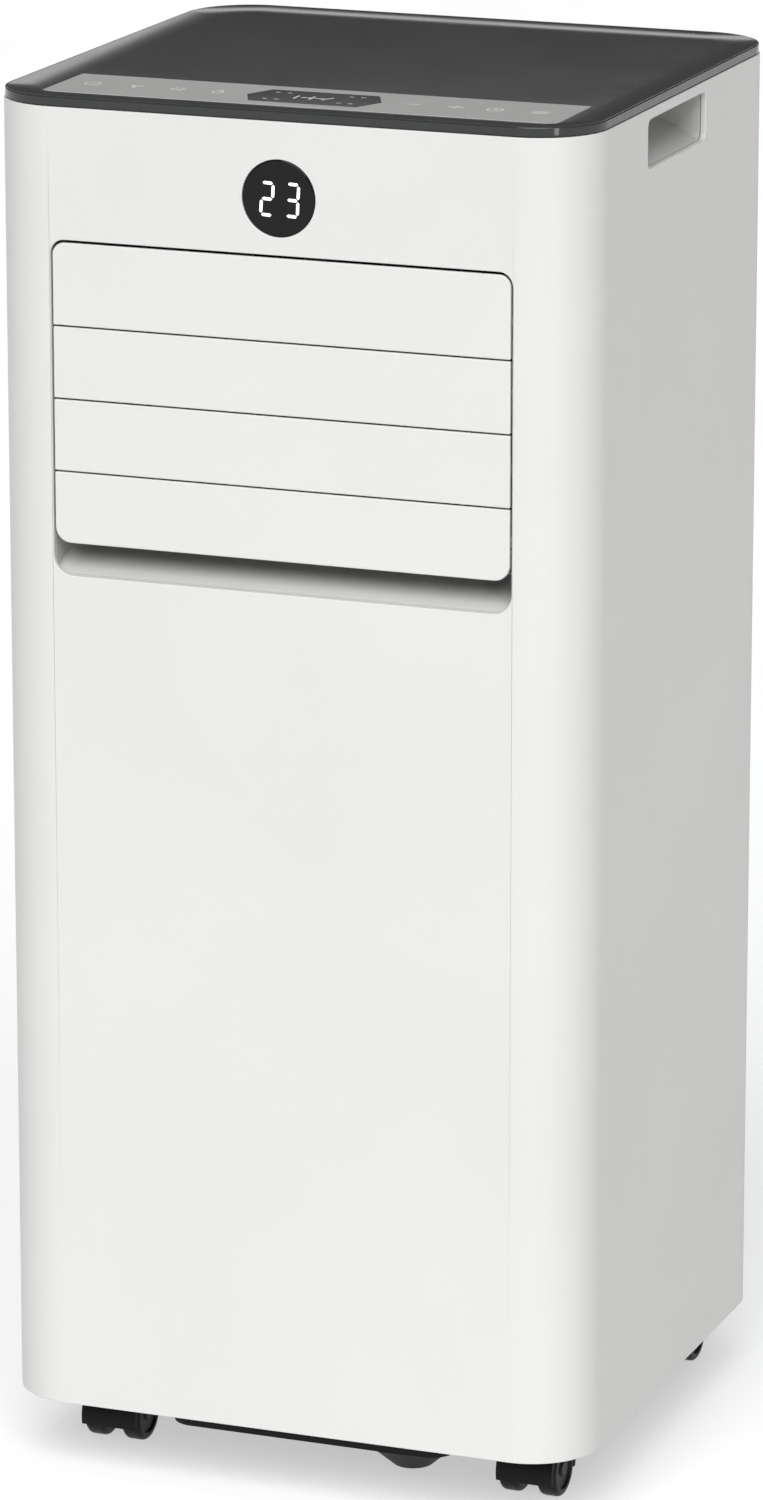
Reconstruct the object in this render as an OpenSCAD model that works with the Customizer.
// Portable air conditioner on four twin-wheel casters.
// +Z is up and the louvred front faces -Y. The origin is on the floor, under the middle of the casing.

/* [Casing] */
// Width of the casing
body_w = 308; // [300:1:330]
// Depth of the casing
body_d = 296; // [292:1:320]
// Height from the floor to the rim of the lid
body_h = 703; // [701:1:720]
// Radius of the upright corners
corner_r = 35; // [30:1:45]
// Thickness of the moulded walls
wall = 3; // [2.5:0.5:3]
// Height of the casing's lower edge above the floor
skirt_z = 37; // [36:1:40]

/* [Lid] */
// How far the lid's edge stands in from the casing
lid_inset = 0.5; // [0.5:0.5:3]
// Height of the lid above the casing's top edge
lid_t = 5; // [4:0.5:7]
// Depth of the shallow tray in the lid
tray_depth = 1.5; // [1:0.5:2]
// Width of the tray's sloping rim at the sides
rim_w = 19.5; // [16:0.5:22]

/* [Louvre] */
// Half of the outlet's width
outlet_hw = 118.6; // [110:0.2:119]
// Distance between blade pivots
blade_pitch = 36; // [34:1:38]
// Height of the lowest blade pivot
blade_z0 = 501; // [499:1:505]
// Gap between two closed blades
blade_gap = 0.8; // [0.6:0.1:1.2]
// Widest opening angle of the blades, degrees
blade_open = 72; // [40:1:75]

/* [Vanes] */
// Distance between vane pivots
vane_pitch = 40; // [38:1:42]
// Swing of the vanes to each side, degrees
vane_swing = 35; // [20:1:35]

/* [Casters] */
// Radius of the caster wheels
wheel_r = 14; // [13:0.5:14.5]
// Width of one wheel
wheel_w = 10.5; // [9:0.5:11]
// Distance from the swivel axis back to the axle
caster_trail = 9; // [6:0.5:9]
// Direction in which the casters stand at rest, degrees
caster_yaw = -1; // [-30:1:30]

/* [Exhaust] */
// Inner radius of the hose collar
exhaust_r = 65; // [60:1:66]
// Height of the hose collar's centre
exhaust_z = 341; // [340:1:341]

/* [Hidden] */
$fn = 64;
e = 0.01; // overlap that keeps a cut from leaving a film

front_y = -body_d / 2;
back_y = body_d / 2;
side_x = body_w / 2;
shell_top = body_h - lid_t;

// Rear cover: a plate between the casing's rear corners
cover_hw = side_x - corner_r - 1;
cover_y0 = back_y - wall;
flange_t = 3;
seat_depth = 14; // depth of the filter seats behind the cover
seat_wall = 2.5;
filter_hw = 98;
upper_filter_z = [453, 665];
lower_filter_z = [97, 261];
screw_r = 1.6;
screw_rows = [73, 275, 441, 681];
screw_x = cover_hw - 6;

// Louvre outlet
outlet_z = [467, 633.4];
outlet_top_r = 7;
outlet_low_r = 10;
pivot_y = front_y + 9;
shaft_r = 2.5;
blade_t = 2.6;
blade_hw = outlet_hw - 1;
blade_half = (blade_pitch - blade_gap) / 2;
blade_top_gap = 1.4;
crank_arm = 12;
crank_pin_r = 1.8;
duct_wall = 2.5;
duct_y = [front_y + wall + 0.2, front_y + 70];
duct_floor_z = 481.5;
duct_roof_z = 636.5;

// Upright vanes behind the blades
vane_y = front_y + 51;
vane_z = [484, 634];
vane_t = 2;
vane_pin_r = 2;
vane_link_dy = 9;
vane_link_z = 559;

// Display on the front
display_z = 661;
display_r = 18.5;

// Handle pockets
handle_y = -11;
handle_z = 681;
handle_l = 88;
handle_h = 24;
handle_depth = 24;

// Base and inner decks
base_floor_z = 49;
base_floor_t = 3;
base_top = 75;
base_gap = 0.5;
deck_z = 411;
deck_t = 3;

// Sump below the base's floor, with a round drain well
sump_w = 150;
sump_d = 248;
sump_xc = 5;
sump_yc = -6;
sump_z = 26.5;
well_x = 53;
well_y = -105;
well_z = 13.5;

// Casters
caster_x = 112.5;
caster_front_y = -98;
caster_rear_y = 113;
twin_gap = 10; // clear space between the two wheels
hood_r = wheel_r + 3.4;
stem_r = 4.5;
stem_top = 63;
axle_r = 2;
corners = [["fl", -1, caster_front_y], ["fr", 1, caster_front_y], ["rl", -1, caster_rear_y], ["rr", 1, caster_rear_y]];

// Fans
upper_fan = [0, 488]; // x and z of the evaporator fan's axis
lower_fan = [45, 178]; // x and z of the condenser fan's axis

// Compressor
comp_x = -64;
comp_y = -45;

// Drains
drain_upper = [78, 425];
drain_lower = [78, 67];
gland_pos = [-84, 67];

white = [0.93, 0.93, 0.92];
charcoal = [0.18, 0.19, 0.19];
black = [0.06, 0.06, 0.07];
strip_grey = [0.55, 0.56, 0.56];
steel = [0.7, 0.71, 0.72];
fin_aluminium = [0.78, 0.79, 0.8];
copper = [0.72, 0.42, 0.26];
board_green = [0.1, 0.35, 0.2];

// ---------- Helpers ----------

// Rounded rectangle, centred, with true arcs
module rounded(w, d, r) {
    square([w - 2 * r, d], center = true);
    square([w, d - 2 * r], center = true);
    for (sx = [-1, 1], sy = [-1, 1])
        translate([sx * (w / 2 - r), sy * (d / 2 - r)]) circle(r);
}

// Extrudes an XZ outline along Y, from y0 to y1
module along_y(y0, y1) {
    translate([0, y1, 0]) rotate([90, 0, 0]) linear_extrude(y1 - y0) children();
}

// Extrudes a YZ outline along X, from x0 to x1
module along_x(x0, x1) {
    translate([x0, 0, 0]) rotate([90, 0, 90]) linear_extrude(x1 - x0) children();
}

// A box from its low corner to its high corner
module block(low, high) {
    translate(low) cube(high - low);
}

// A cylinder along Y
module rod_y(x, z, r, y0, y1) {
    translate([x, y1, z]) rotate([90, 0, 0]) cylinder(r = r, h = y1 - y0);
}

// A cylinder along X
module rod_x(y, z, r, x0, x1) {
    translate([x0, y, z]) rotate([0, 90, 0]) cylinder(r = r, h = x1 - x0);
}

// Sweeps a round tube along points: each ring stands across the path there
function unit(v) = v / norm(v);
function heading(p, i) = unit(p[min(i + 1, len(p) - 1)] - p[max(i - 1, 0)]);
function across(t) = unit(cross(t, abs(t[2]) > 0.9 ? [1, 0, 0] : [0, 0, 1]));
function ring(c, t, r, n) = [
    for (k = [0:n - 1]) let (a = 360 * k / n, u = across(t), v = cross(t, u))
        c + r * (cos(a) * u + sin(a) * v)
];
module tube(points, r, n = 10) {
    m = len(points);
    rings = [for (i = [0:m - 1]) each ring(points[i], heading(points, i), r, n)];
    sides = [
        for (i = [0:m - 2], k = [0:n - 1])
            let (a = i * n + k, b = i * n + (k + 1) % n) each [[a, a + n, b + n], [a, b + n, b]]
    ];
    polyhedron(rings, concat([[for (k = [0:n - 1]) k]], sides,
                             [[for (k = [n - 1:-1:0]) (m - 1) * n + k]]));
}

// Rounds the corners of a pipe run: each inner point becomes a short arc
function bend(a, b, c, r, s = 5) = [
    for (i = [0:s]) let (t = i / s, p = b + r * unit(a - b), q = b + r * unit(c - b))
        (1 - t) * (1 - t) * p + 2 * t * (1 - t) * b + t * t * q
];
function run(p, r) = concat([p[0]], [for (i = [1:len(p) - 2]) each bend(p[i - 1], p[i], p[i + 1], r)],
                            [p[len(p) - 1]]);

// ---------- Casing ----------

module outlet_outline(grow = 0) {
    x = outlet_hw + grow;
    z0 = outlet_z[0] - grow;
    z1 = outlet_z[1] + grow;
    mid = (z0 + z1) / 2;
    translate([0, (mid + z1) / 2]) union() {
        square([2 * (x - outlet_top_r), z1 - mid], center = true);
        translate([0, -outlet_top_r / 2]) square([2 * x, z1 - mid - outlet_top_r], center = true);
        for (s = [-1, 1])
            translate([s * (x - outlet_top_r), (z1 - mid) / 2 - outlet_top_r]) circle(outlet_top_r);
    }
    translate([0, (mid + z0) / 2]) union() {
        square([2 * (x - outlet_low_r), mid - z0], center = true);
        translate([0, outlet_low_r / 2]) square([2 * x, mid - z0 - outlet_low_r], center = true);
        for (s = [-1, 1])
            translate([s * (x - outlet_low_r), outlet_low_r - (mid - z0) / 2]) circle(outlet_low_r);
    }
}

module handle_outline(grow = 0) {
    translate([handle_y, handle_z])
        rounded(handle_l + 2 * grow, handle_h + 2 * grow, 4 + grow);
}

module screw_places() {
    for (s = [-1, 1], z = screw_rows) translate([s * screw_x, 0, z]) children();
}

module front_shell() {
    color(white) difference() {
        union() {
            translate([0, 0, skirt_z]) linear_extrude(shell_top - skirt_z) difference() {
                rounded(body_w, body_d, corner_r);
                rounded(body_w - 2 * wall, body_d - 2 * wall, corner_r - wall);
                translate([-cover_hw - 0.4, 0]) square([2 * cover_hw + 0.8, back_y + 1]);
            }
            // flanges that take the rear cover's screws
            for (s = [-1, 1])
                block([s > 0 ? cover_hw - 12 : -cover_hw - 10, cover_y0 - 0.2 - flange_t, skirt_z + 12],
                      [s > 0 ? cover_hw + 10 : 12 - cover_hw, cover_y0 - 0.2, shell_top - 8]);
        }
        along_y(front_y - 1, front_y + wall + 1) outlet_outline();
        rod_y(0, display_z, display_r + 0.3, front_y - 1, front_y + wall + 1);
        for (s = [-1, 1])
            along_x(s > 0 ? side_x - wall - 1 : -side_x - 1, s > 0 ? side_x + 1 : 1 + wall - side_x)
                handle_outline();
        screw_places() rod_y(0, 0, screw_r - 0.2, cover_y0 - 5, cover_y0 + 1);
    }
}

module filter_seat(z) {
    difference() {
        along_y(cover_y0 - seat_depth, cover_y0 + e) difference() {
            translate([-filter_hw - seat_wall, z[0] - seat_wall])
                square([2 * (filter_hw + seat_wall), z[1] - z[0] + 2 * seat_wall]);
            translate([-filter_hw, z[0]]) square([2 * filter_hw, z[1] - z[0]]);
        }
    }
    // stop lip at the back of the seat
    along_y(cover_y0 - seat_depth, cover_y0 - seat_depth + 2) difference() {
        translate([-filter_hw - e, z[0] - e]) square([2 * (filter_hw + e), z[1] - z[0] + 2 * e]);
        translate([-filter_hw + 4, z[0] + 4]) square([2 * filter_hw - 8, z[1] - z[0] - 8]);
    }
}

module rear_cover() {
    color(white) {
        difference() {
            block([-cover_hw, cover_y0, skirt_z + 1], [cover_hw, back_y, shell_top - 0.6]);
            for (z = [upper_filter_z, lower_filter_z])
                block([-filter_hw, cover_y0 - 1, z[0]], [filter_hw, back_y + 1, z[1]]);
            rod_y(0, exhaust_z, exhaust_r + 4, cover_y0 - 1, back_y + 1);
            for (p = [drain_upper, drain_lower]) rod_y(p[0], p[1], 13, cover_y0 - 1, back_y + 1);
            rod_y(gland_pos[0], gland_pos[1], 7, cover_y0 - 1, back_y + 1);
            screw_places() {
                rod_y(0, 0, screw_r + 0.2, cover_y0 - 1, back_y + 1);
                rod_y(0, 0, 3.4, back_y - 1.6, back_y + 1);
            }
        }
        for (z = [upper_filter_z, lower_filter_z]) filter_seat(z);
    }
}

// ---------- Lid, controls and display ----------

lid_w = body_w - 2 * lid_inset;
lid_d = body_d - 2 * lid_inset;
lid_r = corner_r - lid_inset;
panel_hw = lid_w / 2 - rim_w;
panel_y = [front_y + 19.5, back_y - 21];
panel_z = body_h - tray_depth;

module lid_panel_outline(grow = 0) {
    translate([0, (panel_y[0] + panel_y[1]) / 2])
        rounded(2 * (panel_hw + grow), panel_y[1] - panel_y[0] + 2 * grow, 6 + grow);
}

module top_lid() {
    color(charcoal) difference() {
        union() {
            translate([0, 0, shell_top + 0.4]) linear_extrude(lid_t - 0.4) rounded(lid_w, lid_d, lid_r);
            // locating rib inside the casing
            translate([0, 0, shell_top - 1.2]) linear_extrude(1.6 + e)
                rounded(body_w - 2 * wall - 1, body_d - 2 * wall - 1, corner_r - wall - 0.5);
        }
        // tray floor and its sloping rim
        hull() {
            translate([0, 0, panel_z]) linear_extrude(e, convexity = 2) lid_panel_outline();
            translate([0, 0, body_h]) linear_extrude(1) rounded(lid_w - 2, lid_d - 2, lid_r - 1);
        }
        // seat of the control strip
        translate([0, strip_yc, panel_z - 0.6]) linear_extrude(2) rounded(strip_w + 0.4, strip_d + 0.4, 1.2);
    }
}

strip_w = 2 * panel_hw - 4;
strip_d = 51;
strip_yc = panel_y[0] + 2.7 + strip_d / 2;
window_w = 69;
window_d = 32;
window_cut = 7;

module window_outline(grow = 0) {
    w = window_w / 2 + grow;
    d = window_d / 2 + grow;
    translate([0, strip_yc - 0.5])
        polygon([[-w, 0], [-w + window_cut, -d], [w - window_cut, -d],
                 [w, 0], [w - window_cut, d], [-w + window_cut, d]]);
}

module control_strip() {
    color(strip_grey) translate([0, 0, panel_z - 0.6]) linear_extrude(0.8) difference() {
        translate([0, strip_yc]) rounded(strip_w, strip_d, 1);
        window_outline(0.15);
    }
}

module control_window() {
    color(black) translate([0, 0, panel_z - 0.6]) linear_extrude(0.9) window_outline();
}

module control_board() {
    board_z = shell_top - 9;
    color(board_green) difference() {
        union() {
            block([-126, strip_yc - 24, board_z], [126, strip_yc + 24, board_z + 1.6]);
            // touch springs and the display's light box
            for (s = [-1, 1], k = [0:3])
                translate([s * (50 + 22 * k), strip_yc, board_z + 1.6 - e]) cylinder(r = 5, h = 5);
            block([-28, strip_yc - 14, board_z + 1.6 - e], [28, strip_yc + 10, board_z + 6]);
        }
        for (sx = [-1, 1], sy = [-1, 1])
            translate([sx * 121, strip_yc + sy * 21, board_z - 1]) cylinder(r = 1.6, h = 4);
    }
}

module display_lens() {
    color(black) {
        rod_y(0, display_z, display_r, front_y + 0.2, front_y + wall);
        rod_y(0, display_z, display_r + 2.5, front_y + wall + 0.1, front_y + wall + 2);
        rod_y(0, display_z, display_r - 1, front_y + wall - e, front_y + wall + 0.2);
    }
}

digit_w = 7.2;
digit_h = 17;
digit_lean = 3; // degrees
stroke = 1.5;
// Seven-segment patterns: top, upper left, upper right, middle, lower left, lower right, bottom
seven_segments = [[2, [1, 0, 1, 1, 1, 0, 1]], [3, [1, 0, 1, 1, 0, 1, 1]]];

module segment(horizontal) {
    long = (horizontal ? digit_w : digit_h / 2) - stroke - 0.5;
    rotate(horizontal ? 0 : 90)
        polygon([[-long / 2, 0], [-long / 2 + stroke / 2, -stroke / 2], [long / 2 - stroke / 2, -stroke / 2],
                 [long / 2, 0], [long / 2 - stroke / 2, stroke / 2], [-long / 2 + stroke / 2, stroke / 2]]);
}

module digit(on) {
    x = (digit_w - stroke) / 2;
    z = (digit_h - stroke) / 2;
    places = [[0, z, 1], [-x, z / 2, 0], [x, z / 2, 0], [0, 0, 1], [-x, -z / 2, 0], [x, -z / 2, 0], [0, -z, 1]];
    for (k = [0:6]) if (on[k]) translate([places[k][0], places[k][1]]) segment(places[k][2] == 1);
}

module display_digits() {
    color("white") for (k = [0, 1])
        translate([k ? 7.2 : -5.8, 0, display_z - 0.4])
            along_y(front_y, front_y + 0.2) rotate(-digit_lean) digit(seven_segments[k][1]);
}

module display_board() {
    color(board_green) union() {
        rod_y(0, display_z, 17, front_y + 10, front_y + 11.6);
        block([-12, front_y + wall + 2.2, display_z - 11], [12, front_y + 10 + e, display_z + 11]);
    }
}

// ---------- Outlet, louvre and vanes ----------

module outlet_frame() {
    y0 = duct_y[0];
    y1 = duct_y[1];
    wx = outlet_hw + duct_wall;
    color(white) difference() {
        union() {
            // side walls
            for (s = [-1, 1])
                block([s > 0 ? outlet_hw : -wx, y0, duct_floor_z - duct_wall],
                      [s > 0 ? wx : -outlet_hw, y1, duct_roof_z + duct_wall]);
            // roof and floor
            block([-wx, y0, duct_roof_z], [wx, y1, duct_roof_z + duct_wall]);
            block([-wx, y0 + 24, duct_floor_z - duct_wall], [wx, y1, duct_floor_z]);
            // sill that rises inwards below the lowest blade
            along_x(-wx, wx)
                polygon([[y0, outlet_z[0] - 3], [y0, outlet_z[0] + 1.6], [y0 + 18, duct_floor_z - 4.5],
                         [y0 + 26, duct_floor_z], [y0 + 30, duct_floor_z], [y0 + 30, duct_floor_z - duct_wall],
                         [y0 + 20, duct_floor_z - 7]]);
            for (s = [-1, 1])
                along_x(s > 0 ? outlet_hw : -wx, s > 0 ? wx : -outlet_hw)
                    polygon([[y0, outlet_z[0] - 3], [y0 + 30, duct_floor_z - duct_wall], [y0 + 30, duct_floor_z],
                             [y0, duct_floor_z]]);
            // flanges behind the casing's front wall
            block([-wx, y0, duct_roof_z], [wx, y0 + 2, duct_roof_z + 3]);
            block([-wx, y0, outlet_z[0] - 12], [wx, y0 + 2, outlet_z[0] - 1]);
        }
        // snap-in bearings for the blade shafts
        for (k = [0:3], s = [-1, 1]) {
            x0 = s > 0 ? outlet_hw - 1 : -wx - 1;
            z = blade_z0 + k * blade_pitch;
            rod_x(pivot_y, z, shaft_r + 0.06, x0, x0 + duct_wall + 2);
            block([x0, y0 - 1, z - shaft_r + 0.3], [x0 + duct_wall + 2, pivot_y, z + shaft_r - 0.3]);
        }
        // bearings for the vanes
        for (k = [-2:2]) for (z = [duct_floor_z - duct_wall - 1, duct_roof_z - 1])
            translate([k * vane_pitch, vane_y, z]) cylinder(r = vane_pin_r + 0.06, h = duct_wall + 2);
    }
}

// k counts the blades from the top
module louvre_blade(k) {
    z = blade_z0 + (4 - k) * blade_pitch;
    z0 = z - blade_half;
    z1 = k == 1 ? outlet_z[1] - blade_top_gap : z + blade_half;
    r = k == 1 ? outlet_top_r - 1 : outlet_low_r - 2;
    shaft_x1 = outlet_hw + (k == 2 ? 10 : 5);
    color(white) union() {
        // face plate, with round corners at the top of the first blade and the foot of the last
        along_y(front_y, front_y + blade_t) difference() {
            translate([-blade_hw, z0]) square([2 * blade_hw, z1 - z0]);
            if (k == 1 || k == 4) for (s = [-1, 1])
                translate([s * (blade_hw - r), k == 1 ? z1 - r : z0 + r]) difference() {
                    translate([s > 0 ? 0 : -r - 1, k == 1 ? 0 : -r - 1]) square(r + 1);
                    circle(r);
                }
        }
        // spine along the pivot axis
        block([4 - blade_hw, front_y + blade_t - e, z - 1], [blade_hw - 4, pivot_y, z + 1]);
        rod_x(pivot_y, z, shaft_r, -outlet_hw - 5 - e, shaft_x1);
        // crank outside the duct wall
        translate([-outlet_hw - 8, 0, z]) {
            rod_x(pivot_y, 0, 3.2, 0, 3);
            block([0, pivot_y, -2.4], [3, pivot_y + crank_arm, 2.4]);
            rod_x(pivot_y + crank_arm, 0, 3.2, 0, 3);
            rod_x(pivot_y + crank_arm, 0, crank_pin_r, -4.5, e);
        }
    }
}

module louvre_link() {
    x0 = -outlet_hw - 11.2;
    color(charcoal) difference() {
        along_x(x0, x0 + 2.6) translate([pivot_y + crank_arm, blade_z0 + 1.5 * blade_pitch])
            rounded(8, 3 * blade_pitch + 10, 3.9);
        for (k = [0:3])
            rod_x(pivot_y + crank_arm, blade_z0 + k * blade_pitch, crank_pin_r + 0.08, x0 - 1, x0 + 4);
    }
}

module louvre_motor() {
    z = blade_z0 + 2 * blade_pitch;
    x0 = outlet_hw + duct_wall + 0.4;
    color(steel) difference() {
        union() {
            rod_x(pivot_y + 9, z, 10, x0 + 1.6, x0 + 12.4);
            rod_x(pivot_y, z, 3.3, x0, x0 + 2);
            block([x0 + 1.6, pivot_y + 6, z - 17], [x0 + 3, pivot_y + 12.5, z + 17]);
        }
        rod_x(pivot_y, z, shaft_r + 0.06, x0 - 1, outlet_hw + 12);
        for (s = [-1, 1]) rod_x(pivot_y + 9.2, z + s * 14, 1.6, x0, x0 + 4);
    }
}

// k counts the vanes from the left
module vane(k) {
    x = (k - 3) * vane_pitch;
    notch = 3;
    color(white) translate([x, vane_y, 0]) union() {
        difference() {
            block([-vane_t / 2, -15, vane_z[0]], [vane_t / 2, 13, vane_z[1]]);
            block([-vane_t, 3, vane_link_z - notch], [vane_t, 14, vane_link_z + notch]);
        }
        translate([0, 0, duct_floor_z - duct_wall - 1]) cylinder(r = vane_pin_r, h = vane_z[0] - duct_floor_z + duct_wall + 3);
        translate([0, 0, vane_z[1] - 2]) cylinder(r = vane_pin_r, h = duct_roof_z + duct_wall - vane_z[1] + 3);
        translate([0, vane_link_dy, vane_link_z - notch - 2]) cylinder(r = 1.3, h = 2 * notch + 4);
    }
}

module vane_link() {
    color(charcoal) translate([0, vane_y + vane_link_dy, vane_link_z - 1.5]) difference() {
        linear_extrude(3) rounded(4 * vane_pitch + 8, 6, 2.9);
        for (k = [-2:2]) translate([k * vane_pitch, 0, -1]) cylinder(r = 1.38, h = 5);
    }
}

// ---------- Filters, collar and drains at the rear ----------

slot_pitch = 7;
slot_h = 3.6;

// Grille frame that pulls out of the rear cover, with three columns of level slots
module filter_frame(z) {
    gap = 0.5;
    rows = floor((z[1] - z[0] - 22) / slot_pitch);
    col_w = (2 * filter_hw - 28) / 3;
    mid = (z[0] + z[1]) / 2;
    color(white) {
        along_y(back_y - 2.5, back_y) difference() {
            translate([-filter_hw + gap, z[0] + gap]) square([2 * (filter_hw - gap), z[1] - z[0] - 2 * gap]);
            for (r = [0:rows - 1], c = [-1:1])
                translate([c * (col_w + 4) - col_w / 2, mid + (r - (rows - 1) / 2) * slot_pitch - slot_h / 2])
                    square([col_w, slot_h]);
        }
        // rim that slides into the seat
        along_y(back_y - 10, back_y - 2.5 + e) difference() {
            translate([-filter_hw + gap, z[0] + gap]) square([2 * (filter_hw - gap), z[1] - z[0] - 2 * gap]);
            translate([-filter_hw + gap + 2.5, z[0] + gap + 2.5])
                square([2 * (filter_hw - gap - 2.5), z[1] - z[0] - 2 * gap - 5]);
        }
    }
}

module filter_mesh(z) {
    color(charcoal) block([-filter_hw + 3.2, back_y - 9.5, z[0] + 3.2], [filter_hw - 3.2, back_y - 8.5, z[1] - 3.2]);
}

module exhaust_collar() {
    color(charcoal) difference() {
        union() {
            rod_y(0, exhaust_z, exhaust_r + 3.5, back_y - 34, back_y - 0.5);
            rod_y(0, exhaust_z, exhaust_r + 10, cover_y0 - 2.7, cover_y0 - 0.2);
        }
        rod_y(0, exhaust_z, exhaust_r, back_y - 35, back_y);
    }
}

// Rubber stopper with a pull tab, in a drain spout
module drain_stopper(p, cap_r) {
    y = back_y - 8;
    color(black) {
        rod_y(p[0], p[1], 4.4, y - 12, y + e);
        rod_y(p[0], p[1], cap_r, y, y + 4);
        block([p[0] - 1.5, y + 4 - e, p[1] - 5], [p[0] + 1.5, back_y - 0.5, p[1] + 5]);
    }
}

module spout(p, y0) {
    rod_y(p[0], p[1], 7, y0, back_y - 8.2);
}

module spout_bore(p, y0) {
    rod_y(p[0], p[1], 4.5, y0 - 1, back_y);
}

module cord_gland() {
    color(black) difference() {
        union() {
            rod_y(gland_pos[0], gland_pos[1], 6.8, cover_y0 - 8, back_y - 1 + e);
            rod_y(gland_pos[0], gland_pos[1], 9.5, back_y - wall - 2.2, cover_y0 - 0.2);
            rod_y(gland_pos[0], gland_pos[1], 5.6, back_y - 1, back_y - 0.2);
        }
        rod_y(gland_pos[0], gland_pos[1], 4, cover_y0 - 9, back_y + 1);
    }
}

// ---------- Handles ----------

// Cup behind a side wall; the floor rises inwards
module handle_cup(s) {
    x_out = side_x - wall - 0.2;
    color(white) mirror([s < 0 ? 1 : 0, 0, 0]) difference() {
        along_x(x_out - handle_depth, x_out) handle_outline(2.5);
        difference() {
            along_x(x_out - handle_depth + 2.5, x_out + 1) handle_outline();
            // rising floor
            along_y(handle_y - handle_l, handle_y + handle_l)
                polygon([[x_out + 0.1, handle_z - handle_h / 2 - 5], [x_out + 0.1, handle_z - handle_h / 2],
                         [x_out - handle_depth, handle_z - 1], [x_out - handle_depth, handle_z - handle_h / 2 - 5]]);
        }
    }
}

// ---------- Base ----------

module caster_places() {
    for (c = corners) translate([c[1] * caster_x, c[2], 0]) children();
}

module base_pan() {
    w = body_w - 2 * wall - 2 * base_gap;
    d = body_d - 2 * wall - 2 * base_gap;
    r = corner_r - wall - base_gap;
    floor_top = base_floor_z + base_floor_t;
    color(black) difference() {
        union() {
            translate([0, 0, base_floor_z - 6]) linear_extrude(base_top - base_floor_z + 6) difference() {
                rounded(w, d, r);
                rounded(w - 6, d - 6, r - 3);
            }
            translate([0, 0, base_floor_z]) linear_extrude(base_floor_t) rounded(w - 2, d - 2, r - 1);
            // sump below the floor, and its round drain well
            translate([sump_xc, sump_yc, sump_z]) linear_extrude(base_floor_z - sump_z + e) rounded(sump_w, sump_d, 12);
            translate([well_x, well_y, well_z]) cylinder(r1 = 10, r2 = 25, h = sump_z - well_z + e);
            // caster sockets
            caster_places() translate([0, 0, base_floor_z]) cylinder(r = 9, h = stem_top - base_floor_z + 1.5);
            // float guide
            translate([118, -50, base_floor_z]) cylinder(r = 2.5, h = 26);
            spout(drain_lower, back_y - 40);
            block([drain_lower[0] - 9, back_y - 34, base_floor_z + 1], [drain_lower[0] + 9, back_y - 30, base_top]);
        }
        // hollow of the sump
        translate([sump_xc, sump_yc, sump_z + 3]) linear_extrude(base_floor_z - sump_z + 1) rounded(sump_w - 6, sump_d - 6, 9);
        translate([well_x, well_y, well_z + 3]) cylinder(r1 = 8, r2 = 22, h = sump_z - well_z + e);
        caster_places() translate([0, 0, base_floor_z - 1]) cylinder(r = stem_r + 0.06, h = 22);
        spout_bore(drain_lower, back_y - 40);
        // room for the rear cover's plate and screws
        block([-cover_hw - 11, cover_y0 - 4.5, base_floor_z - 7], [cover_hw + 11, back_y, base_top + 1]);
    }
    // posts that carry the compressor's rubber feet; two of them stand in the sump
    color(black) for (a = [90, 210, 330]) translate([comp_x + 58 * cos(a), comp_y + 58 * sin(a), 0]) {
        translate([0, 0, base_floor_z + 1]) cylinder(r = 4, h = 13);
        if (a != 210) translate([0, 0, sump_z + 1]) cylinder(r = 9, h = base_floor_z + base_floor_t - sump_z - 1);
    }
}

module deck() {
    color(charcoal) difference() {
        union() {
            translate([0, -6, deck_z]) linear_extrude(deck_t) rounded(body_w - 2 * wall - 2, 268, corner_r - wall - 1);
            // drip tray under the evaporator
            translate([0, 112, deck_z]) linear_extrude(22) difference() {
                rounded(224, 32, 4);
                rounded(219, 27, 2);
            }
            spout(drain_upper, 122);
        }
        spout_bore(drain_upper, 121);
        // pipe holes
        translate([-128, 109, deck_z - 1]) cylinder(r = 6.5, h = 6);
        translate([-134, 82.6, deck_z - 1]) cylinder(r = 3.6, h = 6);
    }
}

module water_float() {
    color(white) translate([118, -50, base_floor_z + base_floor_t + 0.3]) difference() {
        cylinder(r = 10, h = 12);
        translate([0, 0, -1]) cylinder(r = 2.9, h = 14);
    }
}

// ---------- Refrigeration ----------

module compressor() {
    color(black) translate([comp_x, comp_y, base_floor_z + 16.4]) union() {
        rotate_extrude() polygon([[0, 0], [34, 0], [46, 6], [50, 14], [50, 190], [46, 204], [34, 213], [0, 216]]);
        // three-legged foot plate
        for (a = [90, 210, 330]) rotate(a) difference() {
            translate([20, -12, 0]) cube([46, 24, 3]);
            translate([58, 0, -1]) cylinder(r = 5, h = 5);
        }
        // terminal cover
        translate([0, 0, 210]) cylinder(r = 16, h = 12);
        // suction accumulator on its bracket
        translate([60, -34, 34]) cylinder(r = 17, h = 120);
        for (z = [70, 120]) translate([0, 0, z]) rotate(-29.5) translate([40, -8, 0]) cube([18, 16, 12]);
    }
}

module compressor_mounts() {
    color(black) for (a = [90, 210, 330])
        translate([comp_x + 58 * cos(a), comp_y + 58 * sin(a), base_floor_z + base_floor_t + 0.2]) difference() {
            union() {
                cylinder(r = 9, h = 13);
                cylinder(r = 4.9, h = 16.6);
            }
            translate([0, 0, -1]) cylinder(r = 4.1, h = 20);
        }
}

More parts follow.
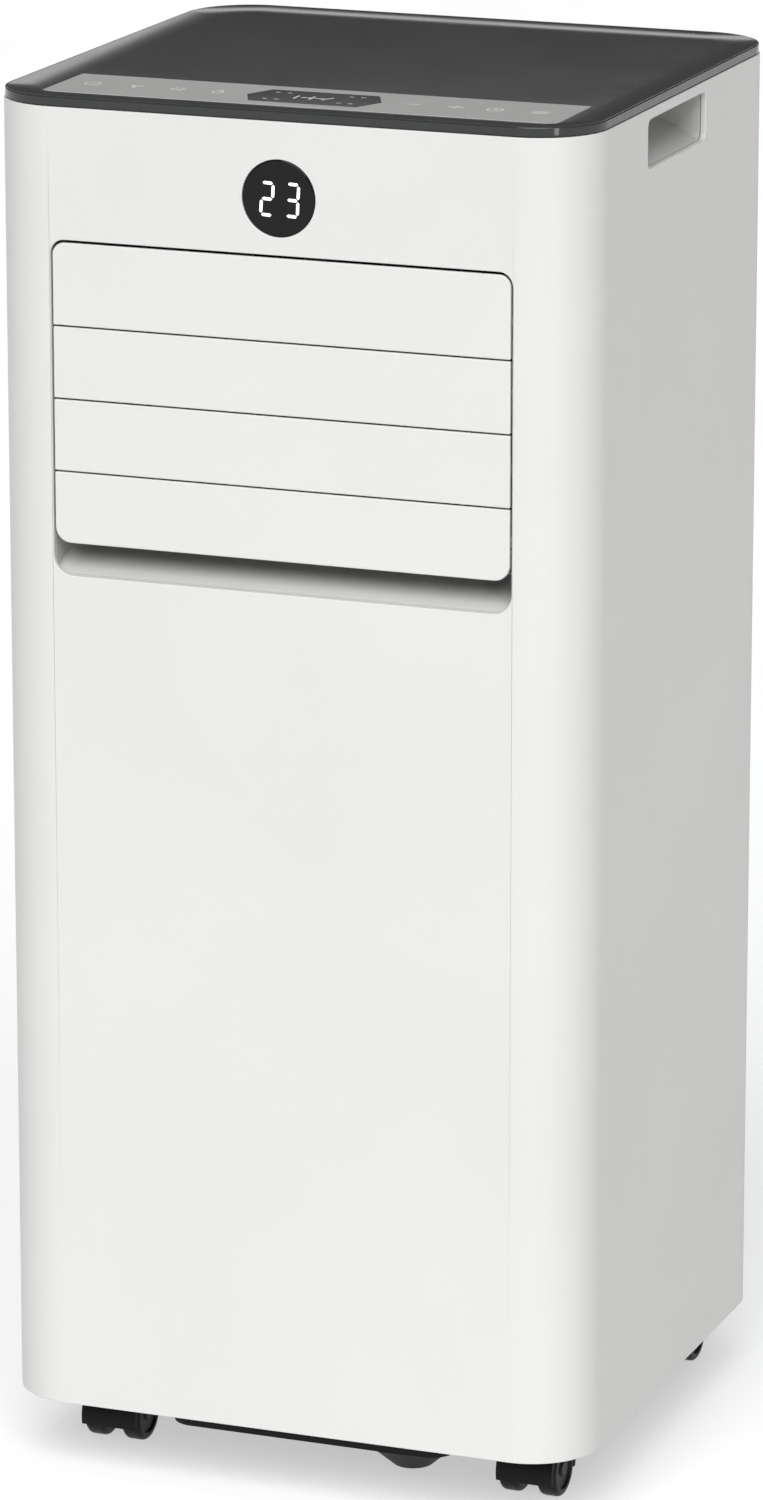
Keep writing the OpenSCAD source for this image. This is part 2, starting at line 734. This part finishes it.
// Fin pack with its hairpin tubes along X
module coil(z0, z1, y0, y1) {
    half = 100;
    fins = 60;
    pitch = 2 * half / fins;
    yc = (y0 + y1) / 2;
    tubes = 2 * floor((z1 - z0) / 42); // even, so both open ends are on the left
    step = (z1 - z0) / tubes;
    color(fin_aluminium) {
        translate([0, 0, z0]) linear_extrude(z1 - z0) union() {
            translate([-half, yc - 3]) square([2 * half, 6]);
            for (k = [0:fins]) translate([-half + k * pitch - 0.5, y0]) square([1, y1 - y0]);
        }
        // end plates
        for (s = [-1, 1]) block([s * (half + 1) - 1, y0, z0], [s * (half + 1) + 1, y1, z1]);
    }
    color(copper) for (k = [0:tubes - 2]) {
        s = k % 2 == 0 ? 1 : -1;
        translate([s * (half + 2 - e), yc, z0 + (k + 1) * step]) rotate([90, 0, s > 0 ? 0 : 180])
            rotate([0, 0, -90]) rotate_extrude(angle = 180) translate([step / 2, 0]) circle(r = 3.4, $fn = 24);
    }
}

module evaporator_coil() {
    coil(435, 659, 94, 124);
}

module condenser_coil() {
    coil(79, 271, 92, 124);
}

module refrigerant_pipes() {
    cx = comp_x;
    cy = comp_y;
    suction = [[cx + 60, cy - 34, 219.4], [cx + 60, cy - 34, 343], [-106, -34, 363], [-128, 60, 373],
               [-128, 109, 373], [-128, 109, 446.2], [-102, 109, 446.2]];
    discharge = [[cx - 26, cy + 10, 279.2], [cx - 26, cy + 10, 333], [-130, 20, 333], [-130, 90, 269],
                 [-126, 108, 259], [-102, 108, 259]];
    capillary = [[-102, 108, 91], [-118, 108, 91], [-134, 80, 133], [-134, 80, 393], [-134, 109, 613],
                 [-122, 109, 647.8], [-102, 109, 647.8]];
    color(copper) {
        tube(run(suction, 14), 4.5);
        tube(run(discharge, 14), 3.2);
        tube(run(capillary, 12), 1.8, 8);
    }
}

// ---------- Fans ----------

// Spiral outline of a fan housing; it grows from r0 to r1 in a full turn
function spiral(r0, r1, n = 48) = [for (k = [0:n]) let (a = 360 * k / n) (r0 + (r1 - r0) * k / n) * [cos(a), sin(a)]];

module evaporator_scroll() {
    w = outlet_hw - 1;
    t = 2;
    y0 = duct_y[1] + 0.4;
    yb = [16, 78]; // front and back of the spiral
    color(charcoal) difference() {
        union() {
            translate([upper_fan[0], 0, upper_fan[1]]) along_y(yb[0], yb[1]) polygon(spiral(60, 68));
            // plenum that carries the air forward to the outlet
            along_x(-w, w) polygon([[y0, 483], [yb[0], 541], [yb[1], 541], [yb[1], 635], [y0, 635]]);
        }
        translate([upper_fan[0], 0, upper_fan[1]]) along_y(yb[0] + t, yb[1] - t) polygon(spiral(58, 66));
        along_x(t - w, w - t)
            polygon([[y0 - 1, 483 + t], [y0, 483 + t], [yb[0], 541 + t], [yb[1] - t, 541 + t],
                     [yb[1] - t, 635 - t], [y0 - 1, 635 - t]]);
        // throat between the spiral and the plenum
        block([12, yb[0] + t, 513], [56, yb[1] - t, 545]);
        // inlet towards the evaporator
        rod_y(upper_fan[0], upper_fan[1], 44, yb[1] - t - 1, yb[1] + 1);
        // shaft hole
        rod_y(upper_fan[0], upper_fan[1], 8, yb[0] - 1, yb[0] + t + 1);
    }
}

module condenser_scroll() {
    t = 2;
    yb = [8, 84];
    color(charcoal) difference() {
        union() {
            translate([lower_fan[0], 0, lower_fan[1]]) along_y(yb[0], yb[1]) polygon(spiral(74, 88));
            // discharge box that leads up to the hose collar
            block([-80, yb[0], 247], [80, yb[1], 409]);
            rod_y(0, exhaust_z, exhaust_r + 4.5, yb[1] - t, back_y - 34.4);
        }
        translate([lower_fan[0], 0, lower_fan[1]]) along_y(yb[0] + t, yb[1] - t) polygon(spiral(72, 86));
        block([t - 80, yb[0] + t, 255 + t], [80 - t, yb[1] - t, 409 - t]);
        block([34, yb[0] + t, 235], [76, yb[1] - t, 261]);
        rod_y(0, exhaust_z, exhaust_r + 2, yb[1] - t - 1, back_y);
        rod_y(lower_fan[0], lower_fan[1], 52, yb[1] - t - 1, yb[1] + 1);
        rod_y(lower_fan[0], lower_fan[1], 8, yb[0] - 1, yb[0] + t + 1);
    }
}

// Forward-curved blower wheel about Y
module blower_wheel(p, r, y0, y1, count) {
    color(charcoal) translate([p[0], 0, p[1]]) difference() {
        union() {
            along_y(y0 + 2, y1 - 2) for (k = [0:count - 1]) rotate(360 * k / count)
                translate([r - 12, 0]) polygon([[0, -1], [6, -0.4], [11, 2.6], [11, 4], [6, 0.9], [0, 0.4]]);
            along_y(y0, y0 + 2.5) circle(r);
            along_y(y1 - 2.5, y1) difference() {
                circle(r);
                circle(r - 13);
            }
            along_y(y0 - 3, y0 + 14) circle(8);
        }
        along_y(y0 - 4, y0 + 16) circle(3.1);
    }
}

module evaporator_fan() {
    blower_wheel(upper_fan, 52, 24, 70, 24);
}

module condenser_fan() {
    blower_wheel(lower_fan, 64, 18, 74, 28);
}

// Motor in front of a scroll; its shaft reaches into the wheel's hub
module fan_motor(p, r, y0, y1, shaft_y) {
    color(steel) union() {
        rod_y(p[0], p[1], r, y0, y1);
        rod_y(p[0], p[1], r - 6, y0 - 6, y0 + e);
        rod_y(p[0], p[1], 3, y1 - e, shaft_y);
        for (a = [45:90:315]) translate([p[0], 0, p[1]]) rotate([0, a, 0])
            block([r - 2, y1 - 3, -5], [r + 9, y1, 5]);
    }
}

module evaporator_fan_motor() {
    fan_motor(upper_fan, 26, -18, 15.6, 36);
}

module condenser_fan_motor() {
    fan_motor(lower_fan, 34, -34, 7.6, 30);
}

// ---------- Electrics and fasteners ----------

module electrical_box() {
    low = [8, -136, 275];
    high = [134, -60, 395];
    color(steel) {
        difference() {
            block(low, high);
            block(low + [1.5, -1, 1.5], high - [1.5, 2, 1.5]);
        }
        // main board, transformer and capacitor inside
        block(low + [1, 60, 6], high - [1, 14, 6]);
        block(low + [16, 34, 16], [low[0] + 56, low[1] + 60 + e, low[2] + 60]);
        translate([high[0] - 32, low[1] + 42, low[2] + 12]) cylinder(r = 16, h = 70);
        translate([high[0] - 48, low[1] + 56, low[2] + 12]) cube([32, 6, 8]);
    }
}

module cover_screws() {
    color(steel) screw_places() {
        rod_y(0, 0, 3.1, back_y - 1.5, back_y - 0.3);
        rod_y(0, 0, screw_r - 0.25, cover_y0 - 7, back_y - 1.5 + e);
    }
}

// ---------- Casters ----------

// Puts a caster's own parts at a corner: its swivel axis is the local Z axis, and the axle trails behind it
module caster_at(c) {
    translate([c[1] * caster_x, c[2], 0]) rotate(caster_yaw) children();
}

module caster_housing(c) {
    hx = twin_gap / 2 + wheel_w - 0.6;
    color(black) caster_at(c) difference() {
        union() {
            // hood over both wheels
            difference() {
                rod_x(caster_trail, wheel_r, hood_r, -hx, hx);
                rod_x(caster_trail, wheel_r, wheel_r + 0.9, -hx - 1, hx + 1);
                block([-hx - 1, caster_trail - 30, -10], [hx + 1, caster_trail + 30, wheel_r - 4]);
            }
            // web between the wheels
            rod_x(caster_trail, wheel_r, wheel_r - 4.2, 0.7 - twin_gap / 2, twin_gap / 2 - 0.7);
            block([0.7 - twin_gap / 2, caster_trail - 13, wheel_r], [twin_gap / 2 - 0.7, caster_trail + 13, wheel_r + 13]);
            // swivel boss and stem
            translate([0, 0, wheel_r + 15]) cylinder(r = 8.5, h = base_floor_z - wheel_r - 15 - 0.6);
            translate([0, 0, wheel_r]) cylinder(r = stem_r, h = stem_top - wheel_r);
        }
        rod_x(caster_trail, wheel_r, axle_r + 0.06, -hx, hx);
        // wheel wells stay clear under the boss
        for (s = [-1, 1])
            rod_x(caster_trail, wheel_r, wheel_r + 0.9, s > 0 ? twin_gap / 2 - 0.7 : -hx - 1, s > 0 ? hx + 1 : 0.7 - twin_gap / 2);
    }
}

module caster_axle(c) {
    reach = twin_gap / 2 + wheel_w - 2.5;
    color(steel) caster_at(c) rod_x(caster_trail, wheel_r, axle_r, -reach, reach);
}

// Both wheels are pressed on the axle and turn with it
module caster_wheels(c) {
    inner = twin_gap / 2;
    round_r = 3;
    color(black) caster_at(c) for (s = [-1, 1])
        translate([0, caster_trail, wheel_r]) rotate([0, 90 * s, 0]) translate([0, 0, inner])
            rotate_extrude() difference() {
                union() {
                    translate([axle_r, 0]) square([wheel_r - axle_r - round_r, wheel_w]);
                    translate([axle_r, round_r]) square([wheel_r - axle_r, wheel_w - 2 * round_r]);
                    for (y = [round_r, wheel_w - round_r]) translate([wheel_r - round_r, y]) circle(round_r);
                }
                // dished outer face, closed over the axle's end
                translate([6, wheel_w - 1.6]) square([4.5, 3]);
            }
    color(black) caster_at(c) for (s = [-1, 1])
        rod_x(caster_trail, wheel_r, axle_r + 0.6, s > 0 ? inner + wheel_w - 2.5 : -inner - wheel_w,
              s > 0 ? inner + wheel_w : 2.5 - inner - wheel_w);
}

// ---------- Build ----------

front_shell();
rear_cover();
top_lid();
control_strip();
control_window();
control_board();
display_lens();
display_digits();
display_board();
outlet_frame();
louvre_motor();
louvre_link();
vane_link();
filter_frame(upper_filter_z);  // upper_filter
filter_mesh(upper_filter_z);  // upper_filter_mesh
filter_frame(lower_filter_z);  // lower_filter
filter_mesh(lower_filter_z);  // lower_filter_mesh
exhaust_collar();
drain_stopper(drain_upper, 10);  // drain_plug
drain_stopper(drain_lower, 11.5);  // drain_cap
cord_gland();
handle_cup(-1);  // handle_left
handle_cup(1);  // handle_right
base_pan();
deck();
water_float();
compressor();
compressor_mounts();
refrigerant_pipes();
evaporator_coil();
condenser_coil();
evaporator_scroll();
condenser_scroll();
evaporator_fan();
condenser_fan();
evaporator_fan_motor();
condenser_fan_motor();
electrical_box();
cover_screws();
for (k = [1:4]) louvre_blade(k);
for (k = [1:5]) vane(k);
for (c = corners) {
    caster_housing(c);
    caster_axle(c);
    caster_wheels(c);
}
